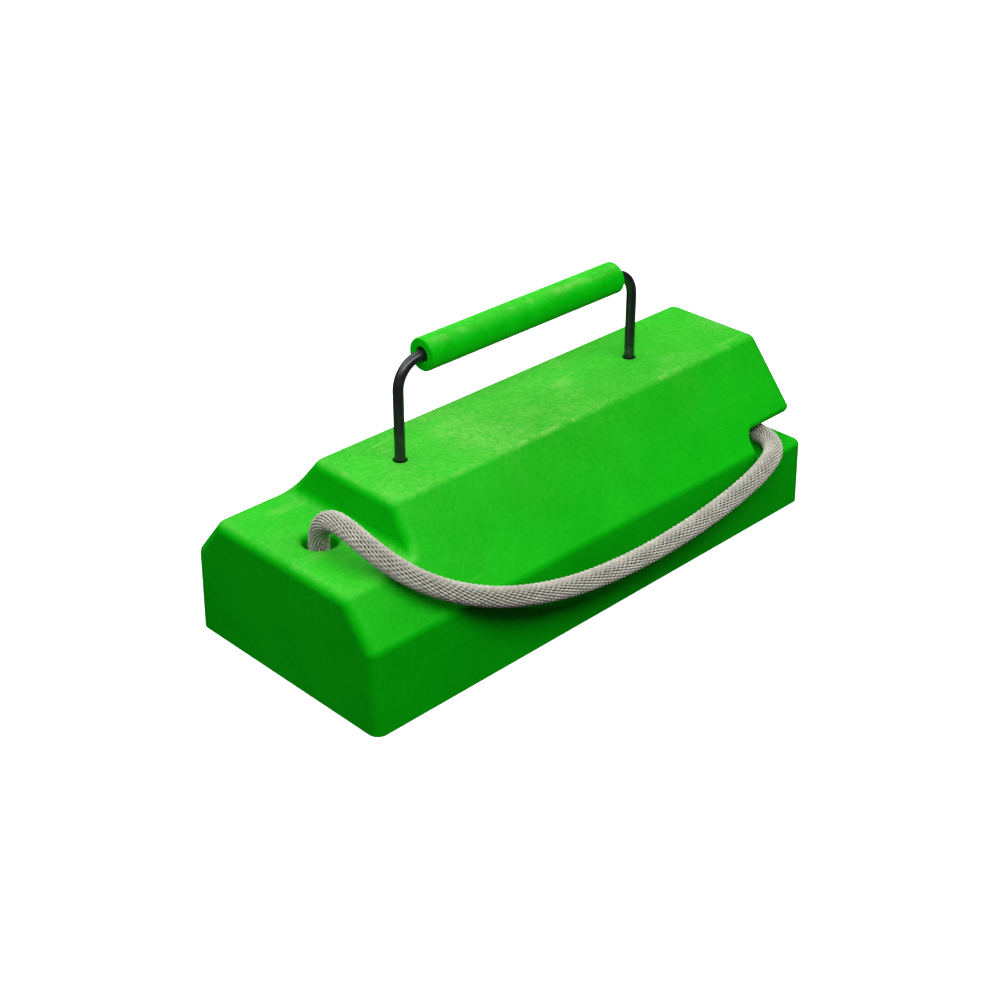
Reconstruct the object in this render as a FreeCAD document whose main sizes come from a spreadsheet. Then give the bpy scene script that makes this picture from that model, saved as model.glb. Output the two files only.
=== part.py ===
import FreeCAD, Part
import math
import os
import Sketcher

# Carry block: a cast block with a bent rod handle, a loose grip tube and a braided pull rope.
# Millimetres. +X runs along the block, -Y is the side where the rope hangs, +Z is up.
# The origin is the centre of the block's base.

os.makedirs("parts", exist_ok=True)
doc = FreeCAD.newDocument("carry_block")

# ---------------------------------------------------------------- driving dimensions
DIMENSIONS = [
    ("block_length", 470.0),      # along X, at the base
    ("block_width", 200.0),       # along Y, at the base
    ("block_height", 134.4),      # flat top above the base
    ("shoulder_height", 66.5),    # top of the near-vertical long sides
    ("top_inset", 57.6),          # flat top's edge, in from the base's long side
    ("side_lean", 1.96),          # how far a long side leans in by shoulder_height
    ("end_lean", 1.0),            # how far an end face leans in by block_height
    ("shelf_height", 100.3),      # flat of the lowered left end
    ("step_foot", 66.7),          # step's foot, from the left end
    ("step_head", 70.2),          # step's head, from the left end
    ("edge_radius", 8.5),
    ("foot_radius", 9.0),         # inside radius at the step's foot
    ("slot_floor", 56.0),         # ledge below the cross slot
    ("slot_roof", 78.0),
    ("slot_depth", 61.0),         # slot's inner end, from the right end
    ("slot_inner_radius", 9.0),
    ("slot_lip_radius", 4.0),
    ("left_rope_inset", 39.0),    # left rope hole's axis, from the left end
    ("right_rope_inset", 35.0),   # right rope hole's axis, from the right end
    ("rope_hole_bore", 24.5),
    ("left_rope_rim", 6.0),       # rounding of the left hole's mouth, in the shelf
    ("right_rope_rim", 4.5),      # rounding of the right hole's mouth, in the ledge
    ("rope_recess_bore", 54.0),   # recess in the underside for a knot and its washer
    ("rope_recess_depth", 42.0),
    ("rope_bore", 16.0),          # the rope's own diameter
    ("rope_washer_outer", 48.0),
    ("rope_washer_inner", 18.0),
    ("rope_washer_thick", 3.0),
    ("knot_bore", 42.0),          # the knot's outer diameter
    ("knot_height", 34.0),
    ("knot_round", 10.0),         # rounding of the knot's two ends
    ("handle_shift", 2.8),        # handle's middle, from the block's middle
    ("leg_spacing", 245.0),       # centre to centre
    ("rod_bore", 8.0),            # the rod's diameter
    ("rod_bend", 20.7),           # bend radius at the rod's centre line
    ("rod_axis_height", 209.2),   # the straight top of the rod
    ("rod_seat_height", 40.0),    # where the rod's shoulder stands in its hole
    ("stud_bore", 6.0),           # threaded end of each leg
    ("stud_end_height", 10.0),
    ("stud_chamfer", 0.7),
    ("leg_hole_bore", 10.6),
    ("leg_hole_rim", 0.8),
    ("stud_hole_bore", 6.6),
    ("nut_recess_bore", 30.0),
    ("nut_recess_depth", 22.0),
    ("washer_outer", 22.0),
    ("washer_inner", 6.4),
    ("washer_thick", 1.6),
    ("nut_flats", 10.0),
    ("nut_hex_height", 6.0),
    ("nut_collar_bore", 8.6),
    ("nut_collar_height", 2.0),
    ("nut_inner", 6.1),
    ("grip_outer", 25.0),
    ("grip_inner", 11.4),
    ("grip_length", 200.0),
    ("grip_edge", 1.2),           # rounding of the grip's ends
]

# Places along X, as expressions.
LEFT_ROPE = "(dims.left_rope_inset - dims.block_length / 2)"
RIGHT_ROPE = "(dims.block_length / 2 - dims.right_rope_inset)"
LEGS = [f"(dims.handle_shift {sign} dims.leg_spacing / 2)" for sign in "-+"]

# The rope's route, from the left knot to the right one: up through the left hole, over the front
# edge, along the front in a sagging curve, into the cross slot and down through the ledge.
ROPE_ROUTE = [
    (-196.0, 0.0, 39.0),
    (-196.0, 0.0, 58.5),
    (-197.4, -0.7, 78.5),
    (-198.4, -1.2, 98.5),
    (-199.4, -5.5, 115.2),
    (-200.3, -19.5, 125.8),
    (-201.8, -37.5, 126.8),
    (-201.2, -56.8, 121.0),
    (-194.3, -75.6, 110.0),
    (-177.4, -92.3, 95.4),
    (-151.3, -104.2, 80.8),
    (-119.5, -112.2, 68.3),
    (-79.0, -118.8, 58.8),
    (-35.5, -120.9, 52.4),
    (12.5, -121.8, 49.9),
    (60.0, -121.6, 51.4),
    (100.5, -121.1, 55.6),
    (132.0, -120.8, 61.8),
    (157.8, -118.3, 67.6),
    (182.6, -108.2, 68.3),
    (198.2, -91.0, 66.9),
    (201.6, -73.0, 67.1),
    (200.8, -54.0, 66.9),
    (200.2, -34.0, 67.2),
    (200.0, -14.0, 67.2),
    (200.0, 0.5, 55.8),
    (200.0, 0.5, 39.0),
]
ARC_SHARE = 0.45    # of the shorter run, from a corner to where its arc starts

sheet = doc.addObject("Spreadsheet::Sheet", "dims")
for row, (alias, value) in enumerate(DIMENSIONS, start=1):
    sheet.set(f"A{row}", alias)
    sheet.set(f"B{row}", str(value))
    sheet.setAlias(f"B{row}", alias)
doc.recompute()
D = dict(DIMENSIONS)


# ---------------------------------------------------------------- helpers
def new_body(label):
    body = doc.addObject("PartDesign::Body", label)
    body.Label = label
    return body


def plane(body, role):
    return next(f for f in body.Origin.OriginFeatures if f.Role == role)


def new_sketch(body, name, role, height=None):
    """A sketch on one of the body's origin planes, raised by the expression height."""
    sketch = body.newObject("Sketcher::SketchObject", name)
    sketch.AttachmentSupport = [(plane(body, role), "")]
    sketch.MapMode = "FlatFace"
    if height:
        sketch.setExpression("AttachmentOffset.Base.z", height)
    return sketch


def pin_to(sketch, geometry, end, expressions):
    """Ties one end of a line or a centre to the sketch's origin by its two coordinates."""
    for kind, axis, expression in zip(("DistanceX", "DistanceY"), (-2, -1), expressions):
        if expression == "0":
            sketch.addConstraint(Sketcher.Constraint("PointOnObject", geometry, end, axis))
            continue
        index = sketch.addConstraint(Sketcher.Constraint(kind, -1, 1, geometry, end, 1.0))
        sketch.setExpression(f"Constraints[{index}]", expression)


def outline(sketch, corners):
    """A closed outline of straight lines through corners, each a pair of expressions."""
    count = len(corners)
    first = sketch.GeometryCount
    rough = [
        FreeCAD.Vector(50 * math.cos(math.tau * k / count), 50 * math.sin(math.tau * k / count), 0)
        for k in range(count)
    ]
    for k in range(count):
        sketch.addGeometry(Part.LineSegment(rough[k], rough[(k + 1) % count]))
    for k in range(count):
        here, following = first + k, first + (k + 1) % count
        sketch.addConstraint(Sketcher.Constraint("Coincident", here, 2, following, 1))
        pin_to(sketch, here, 1, corners[k])


def ring(sketch, centre, diameters):
    """Circles about one centre, whose diameters are expressions."""
    for diameter in diameters:
        index = sketch.addGeometry(Part.Circle(FreeCAD.Vector(1, 1, 0), FreeCAD.Vector(0, 0, 1), 3))
        pin_to(sketch, index, 3, centre)
        size = sketch.addConstraint(Sketcher.Constraint("Diameter", index, 6.0))
        sketch.setExpression(f"Constraints[{size}]", diameter)


def pad(body, name, sketch, length, symmetric=False, reverse=False):
    feature = body.newObject("PartDesign::Pad", name)
    feature.Profile = sketch
    feature.SideType = "Symmetric" if symmetric else "One side"
    feature.Reversed = reverse
    feature.setExpression("Length", length)
    doc.recompute()
    return feature


def pocket(body, name, sketch, length=None, symmetric=False, reverse=True):
    """A cut of the given length, or through everything; it must take material away."""
    before = body.Shape.Volume
    feature = body.newObject("PartDesign::Pocket", name)
    feature.Profile = sketch
    feature.Type = "Length" if length else "ThroughAll"
    feature.SideType = "Symmetric" if symmetric else "One side"
    feature.Reversed = reverse
    if length:
        feature.setExpression("Length", length)
    doc.recompute()
    if body.Shape.Volume > before - 1.0:
        raise RuntimeError(f"{name} cuts nothing")
    return feature


def goes_round(edge, diameter):
    """Whether the edge is a whole circle of this diameter."""
    return abs(edge.Length - math.pi * diameter) < 0.05


def round_edges(body, name, radius, wanted):
    """A fillet of the edges of the body's tip for which wanted(edge) is true."""
    base = body.Tip
    names = [f"Edge{k}" for k, edge in enumerate(base.Shape.Edges, start=1) if wanted(edge)]
    if not names:
        raise RuntimeError(f"{name} finds no edge")
    feature = body.newObject("PartDesign::Fillet", name)
    feature.Base = (base, names)
    feature.setExpression("Radius", radius)
    doc.recompute()
    return feature


def touches(edge, axis, place, slack=0.05):
    """Whether the whole edge lies in the plane where the axis, 0 to 2, has this value."""
    box = edge.BoundBox
    low = (box.XMin, box.YMin, box.ZMin)[axis]
    high = (box.XMax, box.YMax, box.ZMax)[axis]
    return abs(low - place) < slack and abs(high - place) < slack


# ---------------------------------------------------------------- the cast block
def make_block():
    body = new_body("block_body")
    half = D["block_length"] / 2
    top = D["block_height"]
    shelf = D["shelf_height"]
    foot_x = D["step_foot"] - half

    side = new_sketch(body, "side_profile", "XZ_Plane")
    lean = "dims.end_lean / dims.block_height"
    outline(side, [
        ("-dims.block_length / 2", "0"),
        ("dims.block_length / 2", "0"),
        ("dims.block_length / 2 - dims.end_lean", "dims.block_height"),
        ("dims.step_head - dims.block_length / 2", "dims.block_height"),
        ("dims.step_foot - dims.block_length / 2", "dims.shelf_height"),
        (f"{lean} * dims.shelf_height - dims.block_length / 2", "dims.shelf_height"),
    ])
    pad(body, "block_length_pad", side, "dims.block_width", symmetric=True)

    # The long sides lean in a little up to the shoulder, and slope at about 50 degrees above it.
    ends = new_sketch(body, "end_profile", "YZ_Plane")
    for sign in ("", "-"):
        outline(ends, [
            (f"{sign}dims.block_width / 2", "0"),
            (f"{sign}(dims.block_width / 2 - dims.side_lean)", "dims.shoulder_height"),
            (f"{sign}(dims.block_width / 2 - dims.top_inset)", "dims.block_height"),
            (f"{sign}(dims.block_width / 2 - dims.top_inset)", "dims.block_height + 10"),
            (f"{sign}(dims.block_width / 2 + 10)", "dims.block_height + 10"),
            (f"{sign}(dims.block_width / 2 + 10)", "0"),
        ])
    pocket(body, "slopes", ends, symmetric=True)

    round_edges(body, "step_foot_round", "dims.foot_radius",
                lambda e: touches(e, 0, foot_x) and touches(e, 2, shelf))

    def outside(edge):
        box = edge.BoundBox
        if box.ZMax < 1.0:
            return False
        if touches(edge, 1, 0.0):
            return False
        inner_corner = box.XMin > foot_x - 12 and box.XMax < foot_x + 12 and box.ZMin > shelf - 1
        return not (inner_corner and box.ZMax < shelf + 12)

    round_edges(body, "outer_edges", "dims.edge_radius", outside)

    # The cross slot at the right end is open to the end face and to both long sides.
    slot = new_sketch(body, "slot_profile", "XZ_Plane")
    outline(slot, [
        ("dims.block_length / 2 - dims.slot_depth", "dims.slot_floor"),
        ("dims.block_length / 2 + 10", "dims.slot_floor"),
        ("dims.block_length / 2 + 10", "dims.slot_roof"),
        ("dims.block_length / 2 - dims.slot_depth", "dims.slot_roof"),
    ])
    pocket(body, "cross_slot", slot, symmetric=True)
    slot_x = half - D["slot_depth"]
    round_edges(body, "slot_inner_round", "dims.slot_inner_radius",
                lambda e: touches(e, 0, slot_x) and e.BoundBox.YLength > 100)

    def slot_mouth(edge):
        box = edge.BoundBox
        inside = box.XMin > slot_x - 0.1 and box.ZMin > D["slot_floor"] - 0.1
        across = abs(box.YMin + box.YMax) < 1.0 and box.XMax < half - 5
        return inside and box.ZMax < D["slot_roof"] + 0.1 and not across

    round_edges(body, "slot_lip", "dims.slot_lip_radius", slot_mouth)

    # Rope holes run from the shelf and from the slot's ledge down to a wide recess for the knot.
    ropes = [
        ("left", LEFT_ROPE, "dims.shelf_height", "dims.left_rope_rim"),
        ("right", RIGHT_ROPE, "dims.slot_floor", "dims.right_rope_rim"),
    ]
    for side_name, place, mouth_height, rim in ropes:
        hole = new_sketch(body, f"{side_name}_rope_hole_sketch", "XY_Plane", mouth_height)
        ring(hole, (place, "0"), ["dims.rope_hole_bore"])
        pocket(body, f"{side_name}_rope_hole", hole, mouth_height, reverse=False)
        mouth_z = body.getObject(f"{side_name}_rope_hole_sketch").AttachmentOffset.Base.z
        round_edges(body, f"{side_name}_rope_rim", rim,
                    lambda e: touches(e, 2, mouth_z) and goes_round(e, D["rope_hole_bore"]))
    recesses = new_sketch(body, "rope_recess_sketch", "XY_Plane")
    for place in (LEFT_ROPE, RIGHT_ROPE):
        ring(recesses, (place, "0"), ["dims.rope_recess_bore"])
    pocket(body, "rope_recesses", recesses, "dims.rope_recess_depth")

    # Each leg hole steps down to the stud's size, which leaves a web for the nut to pull on.
    leg_steps = [
        ("leg_holes", "dims.block_height", "dims.block_height - dims.rod_seat_height",
         "dims.leg_hole_bore", False),
        ("stud_holes", "0", "dims.rod_seat_height + 1", "dims.stud_hole_bore", True),
        ("nut_recesses", "0", "dims.nut_recess_depth", "dims.nut_recess_bore", True),
    ]
    for name, height, depth, bore, upwards in leg_steps:
        holes = new_sketch(body, f"{name}_sketch", "XY_Plane", height)
        for place in LEGS:
            ring(holes, (place, "0"), [bore])
        pocket(body, name, holes, depth, reverse=upwards)
    round_edges(body, "leg_hole_rims", "dims.leg_hole_rim",
                lambda e: touches(e, 2, top) and goes_round(e, D["leg_hole_bore"]))
    return body


# ---------------------------------------------------------------- the handle
def make_rod():
    """Both legs and the straight top in one bent rod, with a thinner threaded end on each leg."""
    body = new_body("handle_rod")
    left_x, right_x = (D["handle_shift"] + sign * D["leg_spacing"] / 2 for sign in (-1, 1))
    seat, axis, bend = D["rod_seat_height"], D["rod_axis_height"], D["rod_bend"]

    path = new_sketch(body, "rod_path", "XZ_Plane")
    spots = [(left_x, seat), (left_x, axis - bend), (left_x + bend, axis),
             (right_x - bend, axis), (right_x, axis - bend), (right_x, seat)]
    points = [FreeCAD.Vector(x, z, 0) for x, z in spots]
    left_leg = path.addGeometry(Part.LineSegment(points[0], points[1]))
    top = path.addGeometry(Part.LineSegment(points[2], points[3]))
    right_leg = path.addGeometry(Part.LineSegment(points[4], points[5]))
    arcs = []
    for centre_x, start in ((left_x + bend, math.pi / 2), (right_x - bend, 0.0)):
        centre = FreeCAD.Vector(centre_x, axis - bend, 0)
        circle = Part.Circle(centre, FreeCAD.Vector(0, 0, 1), bend)
        arcs.append(path.addGeometry(Part.ArcOfCircle(circle, start, start + math.pi / 2)))
    joined = [(left_leg, 2, arcs[0], 2), (arcs[0], 1, top, 1),
              (top, 2, arcs[1], 2), (arcs[1], 1, right_leg, 1)]
    for one, one_end, other, other_end in joined:
        path.addConstraint(Sketcher.Constraint("Tangent", one, one_end, other, other_end))
    pin_to(path, left_leg, 1, (LEGS[0], "dims.rod_seat_height"))
    pin_to(path, right_leg, 2, (LEGS[1], "dims.rod_seat_height"))
    path.addConstraint(Sketcher.Constraint("Vertical", left_leg))
    path.addConstraint(Sketcher.Constraint("Vertical", right_leg))
    path.addConstraint(Sketcher.Constraint("Horizontal", top))
    height = path.addConstraint(Sketcher.Constraint("DistanceY", -1, 1, top, 1, axis))
    path.setExpression(f"Constraints[{height}]", "dims.rod_axis_height")
    radius = path.addConstraint(Sketcher.Constraint("Radius", arcs[0], bend))
    path.setExpression(f"Constraints[{radius}]", "dims.rod_bend")
    path.addConstraint(Sketcher.Constraint("Equal", arcs[0], arcs[1]))

    section = new_sketch(body, "rod_section", "XY_Plane", "dims.rod_seat_height")
    ring(section, (LEGS[0], "0"), ["dims.rod_bore"])
    doc.recompute()
    pipe = body.newObject("PartDesign::AdditivePipe", "bent_rod")
    pipe.Profile = section
    pipe.Spine = (path, [f"Edge{k + 1}" for k in range(path.GeometryCount)])
    doc.recompute()

    studs = new_sketch(body, "stud_sketch", "XY_Plane", "dims.stud_end_height")
    for place in LEGS:
        ring(studs, (place, "0"), ["dims.stud_bore"])
    pad(body, "studs", studs, "dims.rod_seat_height - dims.stud_end_height")
    end = D["stud_end_height"]
    base = body.Tip
    rims = [f"Edge{k}" for k, e in enumerate(base.Shape.Edges, start=1) if touches(e, 2, end)]
    chamfer = body.newObject("PartDesign::Chamfer", "stud_chamfers")
    chamfer.Base = (base, rims)
    chamfer.setExpression("Size", "dims.stud_chamfer")
    return body


def make_grip():
    body = new_body("handle_grip")
    section = new_sketch(body, "grip_section", "YZ_Plane", "dims.handle_shift")
    ring(section, ("0", "dims.rod_axis_height"), ["dims.grip_outer", "dims.grip_inner"])
    pad(body, "grip_tube", section, "dims.grip_length", symmetric=True)
    ends = [D["handle_shift"] + sign * D["grip_length"] / 2 for sign in (-1, 1)]
    round_edges(body, "grip_ends", "dims.grip_edge",
                lambda e: any(touches(e, 0, x) for x in ends))
    return body


def make_washer(label, place, top_height, outer, inner, thick):
    """A flat ring whose upper face is at top_height."""
    body = new_body(label)
    section = new_sketch(body, f"{label}_sketch", "XY_Plane", top_height)
    ring(section, (place, "0"), [outer, inner])
    pad(body, f"{label}_pad", section, thick, reverse=True)
    return body


def make_nut(label, place):
    """A lock nut: a hexagon against the washer, and a round collar below it."""
    body = new_body(label)
    seat = "dims.nut_recess_depth - dims.washer_thick"
    hexagon = new_sketch(body, f"{label}_hexagon", "XY_Plane", seat)
    corner_radius = "dims.nut_flats / sqrt(3)"
    angles = [30 + 60 * k for k in range(6)]
    outline(hexagon, [
        (f"{place} + {corner_radius} * cos({a}deg)", f"{corner_radius} * sin({a}deg)")
        for a in angles
    ])
    pad(body, f"{label}_hexagon_pad", hexagon, "dims.nut_hex_height", reverse=True)
    collar = new_sketch(body, f"{label}_collar", "XY_Plane", f"{seat} - dims.nut_hex_height")
    ring(collar, (place, "0"), ["dims.nut_collar_bore"])
    pad(body, f"{label}_collar_pad", collar, "dims.nut_collar_height", reverse=True)
    bore = new_sketch(body, f"{label}_bore", "XY_Plane", seat)
    ring(bore, (place, "0"), ["dims.nut_inner"])
    pocket(body, f"{label}_bore_cut", bore, reverse=False)
    return body


# ---------------------------------------------------------------- the rope
def make_knot(label, place):
    """The knot's outer shape, whose flat top meets the rope's end."""
    body = new_body(label)
    top_height = "dims.rope_recess_depth - dims.rope_washer_thick"
    section = new_sketch(body, f"{label}_sketch", "XY_Plane", top_height)
    ring(section, (place, "0"), ["dims.knot_bore"])
    pad(body, f"{label}_pad", section, "dims.knot_height", reverse=True)
    round_edges(body, f"{label}_round", "dims.knot_round", lambda e: e.Length > 1.5 * D["knot_bore"]
                and e.BoundBox.ZLength < 0.01)
    return body


def rope_path(route):
    """Straight runs joined by tangent arcs, each as large as its two runs allow."""
    starts, ends, arcs = [route[0]], [], []
    for before, corner, after in zip(route, route[1:], route[2:]):
        shorter = min((before - corner).Length, (after - corner).Length)
        turn = (corner - before).getAngle(after - corner)
        reach = ARC_SHARE * shorter
        radius = reach / math.tan(turn / 2)
        back = (before - corner).normalize()
        onward = (after - corner).normalize()
        to_middle = (back + onward).normalize()
        middle = corner + to_middle * (radius / math.cos(turn / 2) - radius)
        arcs.append((corner + back * reach, middle, corner + onward * reach))
        ends.append(arcs[-1][0])
        starts.append(arcs[-1][2])
        print(f"rope turn {math.degrees(turn):5.1f} degrees, radius {radius:6.1f} mm")
    ends.append(route[-1])
    edges = []
    for k, (start, end) in enumerate(zip(starts, ends)):
        edges.append(Part.LineSegment(start, end).toShape())
        if k < len(arcs):
            edges.append(Part.Arc(*arcs[k]).toShape())
    return Part.Wire(edges)


def make_rope():
    route = [FreeCAD.Vector(*point) for point in ROPE_ROUTE]
    path = rope_path(route)
    circle = Part.Circle(route[0], route[1] - route[0], D["rope_bore"] / 2)
    shape = path.makePipeShell([Part.Wire(circle.toShape())], True, False)
    expected = math.pi * D["rope_bore"] ** 2 / 4 * path.Length
    print(f"rope length {path.Length:.1f} mm, volume {shape.Volume:.0f} of {expected:.0f} mm3")
    rope = doc.addObject("Part::Feature", "pull_rope")
    rope.Label = "pull_rope"
    rope.Shape = shape
    rope.Placement = FreeCAD.Placement()
    return rope


# ---------------------------------------------------------------- build, check and write
parts = [make_block(), make_rod(), make_grip(), make_rope()]
ENDS = [("left", LEGS[0], LEFT_ROPE), ("right", LEGS[1], RIGHT_ROPE)]
for side_name, leg, rope_hole in ENDS:
    parts.append(make_washer(f"handle_washer_{side_name}", leg, "dims.nut_recess_depth",
                             "dims.washer_outer", "dims.washer_inner", "dims.washer_thick"))
    parts.append(make_nut(f"handle_nut_{side_name}", leg))
    parts.append(make_washer(f"rope_washer_{side_name}", rope_hole, "dims.rope_recess_depth",
                             "dims.rope_washer_outer", "dims.rope_washer_inner",
                             "dims.rope_washer_thick"))
    parts.append(make_knot(f"rope_knot_{side_name}", rope_hole))
doc.recompute()

for item in doc.Objects:
    if "Invalid" in item.State or "Error" in item.State:
        raise RuntimeError(f"{item.Label} failed: {item.State}")
for part in parts:
    if part.Shape.isNull() or not part.Shape.isValid() or len(part.Shape.Solids) != 1:
        raise RuntimeError(f"{part.Label} is not one valid solid")
for part in parts:
    part.Shape.exportStep(os.path.join("parts", f"{part.Label}.step"))
    box = part.Shape.BoundBox
    print(f"{part.Label:22s} X {box.XMin:7.1f} {box.XMax:7.1f}  Y {box.YMin:7.1f} {box.YMax:7.1f}"
          f"  Z {box.ZMin:6.1f} {box.ZMax:6.1f}  volume {part.Shape.Volume:.0f}")
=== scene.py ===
import math

import bpy
import numpy as np
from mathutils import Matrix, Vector


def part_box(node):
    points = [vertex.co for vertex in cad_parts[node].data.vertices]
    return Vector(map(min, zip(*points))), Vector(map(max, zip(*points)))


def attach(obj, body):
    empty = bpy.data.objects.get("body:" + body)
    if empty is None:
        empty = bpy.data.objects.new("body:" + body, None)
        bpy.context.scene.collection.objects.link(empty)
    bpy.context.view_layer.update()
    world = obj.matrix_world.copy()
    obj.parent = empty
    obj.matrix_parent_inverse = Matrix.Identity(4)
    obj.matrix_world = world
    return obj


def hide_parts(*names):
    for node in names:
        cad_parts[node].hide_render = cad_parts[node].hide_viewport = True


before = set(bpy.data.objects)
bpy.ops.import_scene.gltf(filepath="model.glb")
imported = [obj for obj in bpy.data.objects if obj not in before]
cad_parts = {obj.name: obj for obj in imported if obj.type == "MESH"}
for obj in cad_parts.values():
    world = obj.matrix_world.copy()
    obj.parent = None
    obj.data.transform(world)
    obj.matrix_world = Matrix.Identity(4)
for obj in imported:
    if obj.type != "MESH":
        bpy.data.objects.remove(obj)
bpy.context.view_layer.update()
scene = bpy.context.scene

MM = 0.001

# ---------------------------------------------------------------- camera
CAMERA_AZIMUTH = math.radians(-44.614)
CAMERA_ELEVATION = math.radians(29.847)
CAMERA_DISTANCE = 1.3974
CAMERA_TARGET = Vector((0.0, 0.0197, 0.0446))
CAMERA_LENS = 63.81


def make_camera():
    data = bpy.data.cameras.new("camera")
    data.lens = CAMERA_LENS
    data.sensor_width = 36.0
    data.clip_start, data.clip_end = 0.05, 50.0
    camera = bpy.data.objects.new("camera", data)
    scene.collection.objects.link(camera)
    level = math.cos(CAMERA_ELEVATION)
    back = Vector((
        math.sin(CAMERA_AZIMUTH) * level,
        -math.cos(CAMERA_AZIMUTH) * level,
        math.sin(CAMERA_ELEVATION),
    ))
    camera.location = CAMERA_TARGET + back * CAMERA_DISTANCE
    camera.rotation_mode = "QUATERNION"
    camera.rotation_quaternion = (-back).to_track_quat("-Z", "Y")
    scene.camera = camera


make_camera()


# ---------------------------------------------------------------- shader helpers
def add(tree, kind, inputs=(), **settings):
    """A node of this kind. Each input is a plain value, or the socket that feeds it."""
    made = tree.nodes.new(kind)
    for key, value in settings.items():
        setattr(made, key, value)
    for key, value in dict(inputs).items():
        if isinstance(value, bpy.types.NodeSocket):
            tree.links.new(value, made.inputs[key])
        else:
            made.inputs[key].default_value = value
    return made


def maths(tree, operation, *values):
    made = add(tree, "ShaderNodeMath", enumerate(values), operation=operation)
    return made.outputs[0]


def blend_colours(tree, share, one, other):
    made = add(tree, "ShaderNodeMix", {0: share, 6: one, 7: other}, data_type="RGBA")
    return made.outputs[2]


def noise(tree, where, scale, detail=2.0, roughness=0.5, distortion=0.0):
    made = add(tree, "ShaderNodeTexNoise", {
        "Vector": where, "Scale": scale, "Detail": detail,
        "Roughness": roughness, "Distortion": distortion,
    })
    return made.outputs["Fac"]


def between(tree, value, low, high, to_low=0.0, to_high=1.0):
    """Value's stretch from low to high, smoothly spread over to_low to to_high."""
    made = add(tree, "ShaderNodeMapRange", {
        "Value": value, "From Min": low, "From Max": high, "To Min": to_low, "To Max": to_high,
    }, interpolation_type="SMOOTHSTEP")
    return made.outputs["Result"]


def new_material(name, **fixed):
    """A material, its tree, its shader and its piece's own coordinates, which are the row frame's
    at rest. Fixed are shader inputs."""
    made = bpy.data.materials.new(name)
    made.use_nodes = True
    tree = made.node_tree
    shader = tree.nodes["Principled BSDF"]
    for key, value in fixed.items():
        shader.inputs[key.replace("_", " ")].default_value = value
    where = add(tree, "ShaderNodeTexCoord").outputs["Object"]
    return made, tree, shader, where


def bump(tree, shader, height, distance):
    made = add(tree, "ShaderNodeBump", {"Height": height, "Distance": distance, "Strength": 1.0})
    tree.links.new(made.outputs["Normal"], shader.inputs["Normal"])


def scratches(tree, where, angle, spacing, width, coverage):
    """Thin broken lines that run at this angle across X, from 0 to 1."""
    turned = add(tree, "ShaderNodeMapping", {
        "Vector": where, "Rotation": (angle * 0.4, angle * 0.3, angle), "Scale": (0.06, 1.0, 0.5),
    }).outputs["Vector"]
    level = noise(tree, turned, spacing, 1.0, 0.4, 0.3)
    off = maths(tree, "ABSOLUTE", maths(tree, "SUBTRACT", level, 0.5))
    line = between(tree, off, 0.0, width, 1.0, 0.0)
    moved = add(tree, "ShaderNodeMapping", {
        "Vector": where, "Location": (angle, 0.0, 0.0),
    }).outputs["Vector"]
    patches = between(tree, noise(tree, moved, 15.0, 3.0), 1.0 - coverage, 1.12 - coverage)
    return maths(tree, "MULTIPLY", line, patches)


# ---------------------------------------------------------------- materials
# The darker and the lighter green that the mottling runs between.
BLOCK_GREENS = ((0.001, 0.41, 0.002, 1.0), (0.003, 0.52, 0.005, 1.0))
GRIP_GREENS = ((0.001, 0.45, 0.002, 1.0), (0.003, 0.57, 0.005, 1.0))
# Pale chalk: real chalky wear and scuffs, and also painted sheen of the overhead light on faces
# that look up.
CHALK_AND_SHEEN = (0.48, 0.72, 0.24, 1.0)
# Where the wear and the painted light lie, in metres: the heights between which the upper faces
# turn chalky with wear and painted sheen, the distances from the middle between which the hand's
# wear, together with painted light over the grip's shadow, fades, and the X between which the
# scuffs on the long slopes fade, away from the stepped end.
CHALK_AND_SHEEN_HEIGHTS = (0.07, 0.13)
HAND_WEAR_AND_LIGHT_FADES = (0.03, 0.16)
SLOPE_FADES = (-0.16, 0.16)
# Families of fine scratches: angle in radians, noise scale, width and coverage.
SCRATCHES = [(0.5, 26.0, 0.012, 0.44), (-0.9, 34.0, 0.009, 0.42), (2.2, 22.0, 0.010, 0.46)]


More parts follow.
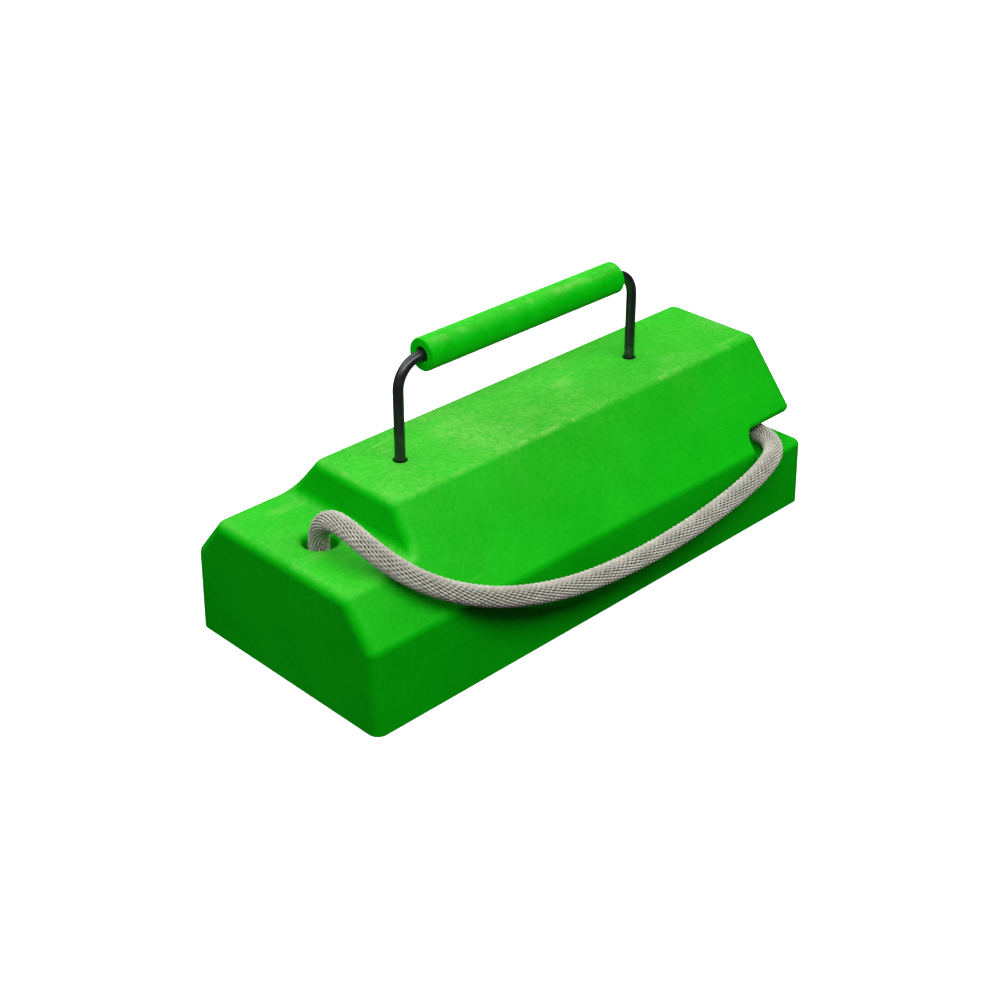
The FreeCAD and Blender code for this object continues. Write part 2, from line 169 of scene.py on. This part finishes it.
def cast_green(name, greens, mottle_scale, relief, haze_and_sheen, **fixed):
    """Cast or moulded green polymer: faint mottling and a fine orange-peel surface. The upper
    faces are chalky and scuffed, most of all under the hand, and the same pale colour paints the
    overhead light's sheen on faces that look up and paints light over the grip's shadow on the
    middle of the top; haze_and_sheen is the chalky and painted-sheen share of one that looks
    straight up."""
    made, tree, shader, where = new_material(name, Specular_IOR_Level=0.08, **fixed)
    grain = between(tree, noise(tree, where, 300.0, 4.0, 0.7), 0.3, 0.7)
    mottle = between(tree, noise(tree, where, mottle_scale, 5.0, 0.6), 0.3, 0.7)
    shade = maths(
        tree, "ADD", maths(tree, "MULTIPLY", mottle, 0.6), maths(tree, "MULTIPLY", grain, 0.4))
    colour = blend_colours(tree, shade, *greens)

    facing = where.node.outputs["Normal"]    # turns with the piece, as the marks on it do
    # Up is 1 on the flat top, 0.63 on the long slopes and about 0 on the long sides.
    up = add(tree, "ShaderNodeSeparateXYZ", {0: facing}).outputs["Z"]
    place = add(tree, "ShaderNodeSeparateXYZ", {0: where}).outputs
    high = between(tree, place["Z"], *CHALK_AND_SHEEN_HEIGHTS)
    off_middle = maths(tree, "ABSOLUTE", place["X"])
    # Painted light: the middle of the top is paled more to lift the grip's shadow there, together
    # with real wear from the hand.
    hand_wear_and_painted_light = between(tree, off_middle, *HAND_WEAR_AND_LIGHT_FADES, 1.7, 1.0)
    toward_step = between(tree, place["X"], *SLOPE_FADES, 1.0, 0.15)
    # Upward faces high on the piece: real chalky wear, and painted sheen that grows paler the more
    # a face looks up.
    worn_and_sheened = maths(
        tree, "MULTIPLY", between(tree, up, 0.50, 0.97), maths(tree, "MULTIPLY", high, hand_wear_and_painted_light))
    sloping = maths(tree, "MULTIPLY", between(tree, up, 0.45, 0.70), toward_step)
    rounded = maths(
        tree, "MULTIPLY", between(tree, up, 0.68, 0.80), between(tree, up, 0.93, 0.995, 1.0, 0.0))

    marks = 0.0
    for family in SCRATCHES:
        marks = maths(tree, "MAXIMUM", marks, scratches(tree, where, *family))
    clouds = between(tree, noise(tree, where, 13.0, 6.0, 0.62), 0.44, 0.68, 0.8, 1.8)
    speckled = maths(tree, "MULTIPLY", clouds, maths(tree, "ADD", grain, 0.5))
    chalk_and_sheen = maths(tree, "MULTIPLY", speckled, haze_and_sheen)
    chalk_and_sheen = maths(tree, "ADD", chalk_and_sheen, maths(tree, "MULTIPLY", marks, 0.10))
    rubbed = between(tree, noise(tree, where, 45.0, 5.0, 0.6), 0.48, 0.64, 0.0, 0.12)
    chalk_and_sheen = maths(tree, "ADD", chalk_and_sheen, maths(tree, "MULTIPLY", rubbed, rounded))
    chalk_and_sheen = maths(tree, "MULTIPLY", chalk_and_sheen, worn_and_sheened)
    scuffed = maths(
        tree, "ADD", maths(tree, "MULTIPLY", marks, 0.04), maths(tree, "MULTIPLY", speckled, 0.014))
    chalk_and_sheen = maths(tree, "ADD", chalk_and_sheen, maths(tree, "MULTIPLY", scuffed, sloping))
    tree.links.new(blend_colours(tree, chalk_and_sheen, colour, CHALK_AND_SHEEN), shader.inputs["Base Color"])

    polish = between(tree, mottle, 0.0, 1.0, 0.42, 0.50)
    rough = maths(tree, "ADD", polish, maths(tree, "MULTIPLY", chalk_and_sheen, 0.5))
    tree.links.new(rough, shader.inputs["Roughness"])
    peel = noise(tree, where, 520.0, 3.0, 0.6)
    waves = noise(tree, where, 24.0, 2.0)
    surface = maths(tree, "ADD", maths(tree, "MULTIPLY", peel, 0.25), waves)
    surface = maths(tree, "SUBTRACT", surface, maths(tree, "MULTIPLY", marks, 0.12))
    bump(tree, shader, surface, relief)
    return made


def coated_rod():
    """Dark satin coating on steel, a little rubbed."""
    made, tree, shader, where = new_material("dark_rod", Metallic=0.55, Specular_IOR_Level=0.8)
    rubbed = between(tree, noise(tree, where, 90.0, 6.0, 0.65), 0.5, 0.75)
    colour = blend_colours(tree, rubbed, (0.032, 0.034, 0.036, 1.0), (0.11, 0.11, 0.11, 1.0))
    tree.links.new(colour, shader.inputs["Base Color"])
    tree.links.new(between(tree, rubbed, 0.0, 1.0, 0.30, 0.22), shader.inputs["Roughness"])
    bump(tree, shader, noise(tree, where, 700.0, 3.0), 0.00006)
    return made


def zinc_steel():
    """Zinc plated steel with a faint patchy bloom."""
    made, tree, shader, where = new_material("zinc_steel", Metallic=1.0)
    bloom = noise(tree, where, 160.0, 5.0, 0.6)
    colour = blend_colours(tree, bloom, (0.50, 0.50, 0.48, 1.0), (0.72, 0.73, 0.74, 1.0))
    tree.links.new(colour, shader.inputs["Base Color"])
    tree.links.new(between(tree, bloom, 0.3, 0.7, 0.28, 0.5), shader.inputs["Roughness"])
    bump(tree, shader, noise(tree, where, 1500.0, 2.0), 0.00003)
    return made


def rope_yarn():
    """Pale grey polyester yarn: fine fibres, and some grime that comes and goes along the rope."""
    made, tree, shader, where = new_material(
        "braided_rope", Roughness=0.75, Specular_IOR_Level=0.3, Diffuse_Roughness=1.0)
    grime = between(tree, noise(tree, where, 38.0, 5.0, 0.6), 0.35, 0.7)
    colour = blend_colours(tree, grime, (0.64, 0.63, 0.55, 1.0), (0.52, 0.51, 0.44, 1.0))
    flecks = between(tree, noise(tree, where, 420.0, 3.0, 0.6), 0.35, 0.68)
    colour = blend_colours(
        tree, maths(tree, "MULTIPLY", flecks, 0.35), colour, (0.22, 0.21, 0.18, 1.0))
    fibres = noise(tree, where, 2600.0, 2.0, 0.6)
    tree.links.new(colour, shader.inputs["Base Color"])
    bump(tree, shader, fibres, 0.00025)
    return made


GREEN_BLOCK = cast_green("cast_green", BLOCK_GREENS, 10.0, 0.0005, 0.08)
GREEN_GRIP = cast_green("grip_green", GRIP_GREENS, 40.0, 0.0003, 0.04, Diffuse_Roughness=1.0)
DARK_ROD = coated_rod()
ZINC = zinc_steel()
YARN = rope_yarn()
# The core's dark colour is painted shade, seen in the gaps between the braid's ridges.
GAP_SHADE_CORE = new_material("rope_core_painted_shade", Base_Color=(0.12, 0.115, 0.10, 1.0), Roughness=0.9)[0]

NODE_MATERIALS = {
    "block_body": GREEN_BLOCK,
    "handle_grip": GREEN_GRIP,
    "handle_rod": DARK_ROD,
}
for side in ("left", "right"):
    for kind in ("handle_washer", "handle_nut", "rope_washer"):
        NODE_MATERIALS[f"{kind}_{side}"] = ZINC
for name, made in NODE_MATERIALS.items():
    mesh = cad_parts[name].data
    mesh.materials.clear()
    mesh.materials.append(made)


# ---------------------------------------------------------------- the rope
ROPE_DIAMETER = 16 * MM
# In millimetres, from the top of the left knot to the top of the right knot.
ROPE_ROUTE = [
    (-196.0, 0.0, 39.0),
    (-196.0, 0.0, 58.5),
    (-197.4, -0.7, 78.5),
    (-198.4, -1.2, 98.5),
    (-199.4, -5.5, 115.2),
    (-200.3, -19.5, 125.8),
    (-201.8, -37.5, 126.8),
    (-201.2, -56.8, 121.0),
    (-194.3, -75.6, 110.0),
    (-177.4, -92.3, 95.4),
    (-151.3, -104.2, 80.8),
    (-119.5, -112.2, 68.3),
    (-79.0, -118.8, 58.8),
    (-35.5, -120.9, 52.4),
    (12.5, -121.8, 49.9),
    (60.0, -121.6, 51.4),
    (100.5, -121.1, 55.6),
    (132.0, -120.8, 61.8),
    (157.8, -118.3, 67.6),
    (182.6, -108.2, 68.3),
    (198.2, -91.0, 66.9),
    (201.6, -73.0, 67.1),
    (200.8, -54.0, 66.9),
    (200.2, -34.0, 67.2),
    (200.0, -14.0, 67.2),
    (200.0, 0.5, 55.8),
    (200.0, 0.5, 39.0),
]


def smooth_line(points, resolution=16):
    """Points along the smooth curve whose control points are given, all in metres."""
    data = bpy.data.curves.new("route", "CURVE")
    data.dimensions = "3D"
    data.resolution_u = resolution
    spline = data.splines.new("NURBS")
    spline.points.add(len(points) - 1)
    for point, place in zip(spline.points, points):
        point.co = (*place, 1.0)
    spline.order_u = 3
    spline.use_endpoint_u = True
    carrier = bpy.data.objects.new("route", data)
    mesh = bpy.data.meshes.new_from_object(carrier)
    line = np.array([v.co for v in mesh.vertices], float)
    bpy.data.objects.remove(carrier)
    bpy.data.meshes.remove(mesh)
    bpy.data.curves.remove(data)
    return line


def along(line, places):
    """Centres and turning-free side and lift directions at these lengths along the line."""
    steps = np.linalg.norm(np.diff(line, axis=0), axis=1)
    reached = np.concatenate([[0.0], np.cumsum(steps)])
    centres = np.stack([np.interp(places, reached, line[:, k]) for k in range(3)], axis=1)
    ahead = np.gradient(centres, axis=0)
    ahead /= np.linalg.norm(ahead, axis=1)[:, None]
    side = np.cross(ahead[0], (0.0, 0.0, 1.0) if abs(ahead[0][2]) < 0.9 else (1.0, 0.0, 0.0))
    sides = []
    for direction in ahead:
        side = side - direction * (side @ direction)
        side = side / np.linalg.norm(side)
        sides.append(side)
    sides = np.array(sides)
    return centres, sides, np.cross(ahead, sides)


def line_length(line):
    return float(np.linalg.norm(np.diff(line, axis=0), axis=1).sum())


def tube_faces(first, rings, sides):
    """The faces of one closed tube whose points start at first, ring by ring."""
    ring = np.arange(rings - 1)[:, None] * sides + first
    here = np.arange(sides)[None, :]
    onward = (here + 1) % sides
    ahead = ring + sides
    quads = np.stack([ring + here, ring + onward, ahead + onward, ahead + here], axis=2)
    ends = [
        list(range(first + sides - 1, first - 1, -1)),
        list(range(first + (rings - 1) * sides, first + rings * sides)),
    ]
    return quads.reshape(-1, 4).tolist() + ends


# A strand's section: half widths across it and half thicknesses away from the rope's middle.
STRAND_SECTION = np.array([(-1.0, -0.4), (-0.66, 0.6), (0.0, 1.0), (0.66, 0.6), (1.0, -0.4)])
STITCH = 3.8 * MM           # along the rope
ROW = 2.5 * MM              # round it
BRAID_TWIST = 36.0          # radians a metre
# Shares of the rope's radius: a ridge's half thickness, how far its stitches rise and fall, and
# the core inside the ridges, coloured dark as painted shade in the gaps between them.
RIDGE_THICKNESS = 0.17
STITCH_DEPTH = 0.035
CORE_SHARE = 0.74
# Shares of the room a ridge has round the rope: its half width, how much that swells in each
# stitch, and how far the ridge sways.
RIDGE_WIDTH = 0.42
RIDGE_SWELL = 0.09
RIDGE_SWAY = 0.12
RINGS_A_STITCH = 4


def braid_points(line, radius):
    """A solid braid: ridges of stitches that wind slowly round the rope, each ridge half a stitch
    on from the last. Gives the points of each ridge as an array of rings."""
    rows = 2 * round(math.pi * radius / ROW)
    count = RINGS_A_STITCH * int(line_length(line) / STITCH) + 1
    places = np.linspace(0.0, line_length(line), count)
    centres, sides, lifts = along(line, places)
    column = math.tau / rows
    thickness = RIDGE_THICKNESS * radius
    depth = STITCH_DEPTH * radius
    middle = radius - depth - thickness
    made = []
    for row in range(rows):
        phase = math.tau * places / STITCH + math.pi * row
        angle = column * (row - RIDGE_SWAY * np.sin(phase)) + BRAID_TWIST * places
        lift = middle + depth * np.cos(phase)
        width = column * middle * (RIDGE_WIDTH + RIDGE_SWELL * np.cos(phase))
        outward = np.cos(angle)[:, None] * sides + np.sin(angle)[:, None] * lifts
        path = centres + outward * lift[:, None]
        forward = np.gradient(path, axis=0)
        forward /= np.linalg.norm(forward, axis=1)[:, None]
        across = np.cross(forward, outward)
        across /= np.linalg.norm(across, axis=1)[:, None]
        rings = (path[:, None, :]
                 + across[:, None, :] * (STRAND_SECTION[None, :, 0:1] * width[:, None, None])
                 + outward[:, None, :] * (STRAND_SECTION[None, :, 1:2] * thickness))
        made.append(rings)
    return made


def core_points(line, rope_radius, spacing, sides=12):
    """The core inside a rope of this radius, as an array of rings this far apart. It is coloured
    dark as painted shade in the gaps between the ridges.
    """
    radius = CORE_SHARE * rope_radius
    places = np.linspace(0.0, line_length(line), int(line_length(line) / spacing) + 2)
    centres, side, lift = along(line, places)
    angles = np.arange(sides) * math.tau / sides
    return (centres[:, None, :]
            + side[:, None, :] * (radius * np.cos(angles))[None, :, None]
            + lift[:, None, :] * (radius * np.sin(angles))[None, :, None])


def mesh_object(name, strands, cores):
    """One object of yarn strands around cores in a dark colour that paints the shade between the
    strands, each strand or core an array of rings.
    """
    points, faces, materials, first = [], [], [], 0
    for material, tubes in enumerate((strands, cores)):
        for rings in tubes:
            count, sides = rings.shape[:2]
            points.append(rings.reshape(-1, 3))
            made = tube_faces(first, count, sides)
            faces += made
            materials += [material] * len(made)
            first += count * sides
    mesh = bpy.data.meshes.new(name)
    mesh.from_pydata(np.concatenate(points).tolist(), [], faces)
    mesh.shade_smooth()
    mesh.materials.append(YARN)
    mesh.materials.append(GAP_SHADE_CORE)
    mesh.polygons.foreach_set("material_index", materials)
    built = bpy.data.objects.new(name, mesh)
    scene.collection.objects.link(built)
    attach(built, "block")
    return built


rope_line = smooth_line([tuple(MM * v for v in point) for point in ROPE_ROUTE])
rope_radius = ROPE_DIAMETER / 2
strands = braid_points(rope_line, rope_radius)
rope = mesh_object("rope_braid", strands, [core_points(rope_line, rope_radius, 3 * MM)])
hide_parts("pull_rope")


# ---------------------------------------------------------------- the knots
KNOT_ROPE_DIAMETER = 12 * MM    # the rope is squeezed where it is knotted
KNOT_TURNS = 2.25
POINTS_A_TURN = 12


def knot_route(node):
    """Down the middle, round under it, and up in turns laid about it, in metres."""
    low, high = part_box(node)
    middle = (low + high) / 2
    thick = KNOT_ROPE_DIAMETER
    bottom = low.z + thick / 2 + 1 * MM
    top = high.z - thick / 2 - 0.5 * MM
    route = [
        (middle.x, middle.y, high.z - 0.2 * MM),
        (middle.x, middle.y, high.z - 8 * MM),
        (middle.x, middle.y, bottom + 7 * MM),
        (middle.x - 2 * MM, middle.y, bottom + 0.5 * MM),
        (middle.x - 9 * MM, middle.y - 5 * MM, bottom),
    ]
    steps = int(KNOT_TURNS * POINTS_A_TURN)
    reach = thick * 1.06
    for k in range(1, steps + 1):
        share = k / steps
        angle = math.pi + 0.6 + share * KNOT_TURNS * math.tau
        height = bottom + 0.5 * MM + (top - bottom) * min(1.0, share * 1.02)
        route.append((
            middle.x + reach * math.cos(angle), middle.y + reach * math.sin(angle), height))
    return route


for side in ("left", "right"):
    node = f"rope_knot_{side}"
    line = smooth_line(knot_route(node), 8)
    radius = KNOT_ROPE_DIAMETER / 2
    strands = braid_points(line, radius)
    knot = mesh_object(f"knot_{side}", strands, [core_points(line, radius, 2.5 * MM)])
    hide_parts(node)


# ---------------------------------------------------------------- studio
FILL = 0.025    # the room's even light
WHITE = 0.99    # how bright the floor and the backdrop are to the camera
# Softboxes: degrees round from the front to the left, degrees up, metres away, size, power, and
# whether they show in glossy surfaces.
LIGHTS = [
    ("overhead", 150.0, 66.0, 1.7, (3.6, 2.2), 44.0, True),
    ("front", 12.0, 53.0, 1.8, (2.4, 0.7), 31.1, True),
    ("slotted_end", 250.0, 20.0, 1.8, (1.2, 1.2), 8.0, False),
]


def make_floor():
    mesh = bpy.data.meshes.new("floor")
    half = 6.0
    corners = [(-half, -half, 0), (half, -half, 0), (half, half, 0), (-half, half, 0)]
    mesh.from_pydata(corners, [], [(0, 1, 2, 3)])
    mesh.materials.append(new_material(
        "floor", Roughness=0.9, Emission_Color=(1.0, 1.0, 1.0, 1.0), Emission_Strength=WHITE)[0])
    floor = bpy.data.objects.new("floor", mesh)
    floor.location.z = -0.2 * MM    # clear of the block's base, which is at 0
    scene.collection.objects.link(floor)
    floor.visible_diffuse = False
    floor.visible_glossy = False


def softbox(name, azimuth, elevation, distance, size, power, glossy):
    data = bpy.data.lights.new(name, "AREA")
    data.shape = "RECTANGLE"
    data.size, data.size_y = size
    data.energy = power
    light = bpy.data.objects.new(name, data)
    scene.collection.objects.link(light)
    azimuth, elevation = math.radians(azimuth), math.radians(elevation)
    outward = Vector((
        -math.sin(azimuth) * math.cos(elevation),
        -math.cos(azimuth) * math.cos(elevation),
        math.sin(elevation),
    ))
    light.location = Vector((0.0, 0.0, 0.1)) + outward * distance
    light.visible_camera = False
    light.visible_glossy = glossy
    light.rotation_mode = "QUATERNION"
    light.rotation_quaternion = (-outward).to_track_quat("-Z", "Y")


def make_world():
    world = bpy.data.worlds.new("studio")
    scene.world = world
    world.use_nodes = True
    tree = world.node_tree
    background = tree.nodes["Background"]
    background.inputs["Color"].default_value = (1.0, 1.0, 1.0, 1.0)
    seen = add(tree, "ShaderNodeLightPath").outputs["Is Camera Ray"]
    tree.links.new(between(tree, seen, 0.0, 1.0, FILL, WHITE), background.inputs["Strength"])


make_floor()
for light in LIGHTS:
    softbox(*light)
make_world()
scene.view_settings.view_transform = "Standard"
scene.view_settings.look = "None"
